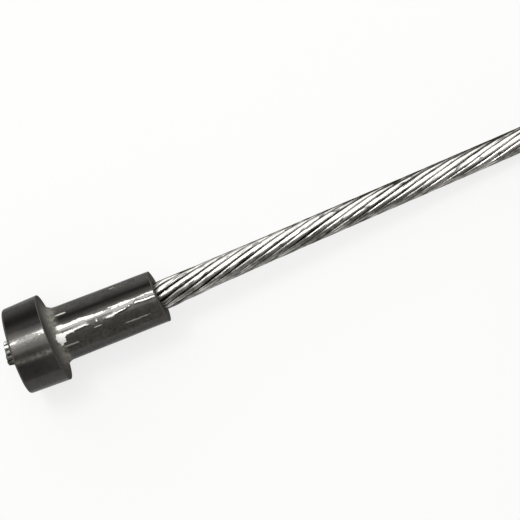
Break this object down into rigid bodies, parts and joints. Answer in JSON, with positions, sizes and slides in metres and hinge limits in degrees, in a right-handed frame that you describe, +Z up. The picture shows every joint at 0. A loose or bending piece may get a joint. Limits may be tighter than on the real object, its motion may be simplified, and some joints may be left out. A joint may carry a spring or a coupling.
{
  "type": "bicycle brake inner cable",
  "caption": "Bicycle brake inner cable: a stranded steel wire rope with a flanged cylindrical cast head on one end, the spare length put up in a round coil.",
  "frame": {"origin": "below the middle of the head, on the surface that the head lies on", "axes": "+X along the head's axis from the cut wire tips towards the cable, +Z up from the surface, +Y to the side away from the coil"},
  "size_m": [0.0599, 0.0264, 0.0064],
  "materials": {
    "cast_metal": "dark die-cast metal, smooth and slightly scuffed",
    "steel_wire": "bright drawn steel wire with dark dirt in the grooves"
  },
  "bodies": {
    "root": {"cable_head": "cast_metal", "core_wire": "steel_wire", "inner_wire_1": "steel_wire", "inner_wire_2": "steel_wire", "inner_wire_3": "steel_wire", "inner_wire_4": "steel_wire", "inner_wire_5": "steel_wire", "inner_wire_6": "steel_wire", "outer_wire_1": "steel_wire", "outer_wire_2": "steel_wire", "outer_wire_3": "steel_wire", "outer_wire_4": "steel_wire", "outer_wire_5": "steel_wire", "outer_wire_6": "steel_wire", "outer_wire_7": "steel_wire", "outer_wire_8": "steel_wire", "outer_wire_9": "steel_wire", "outer_wire_10": "steel_wire", "outer_wire_11": "steel_wire", "outer_wire_12": "steel_wire", "cable_lead": "steel_wire", "cable_coil": "steel_wire"}
  },
  "joints": []
}
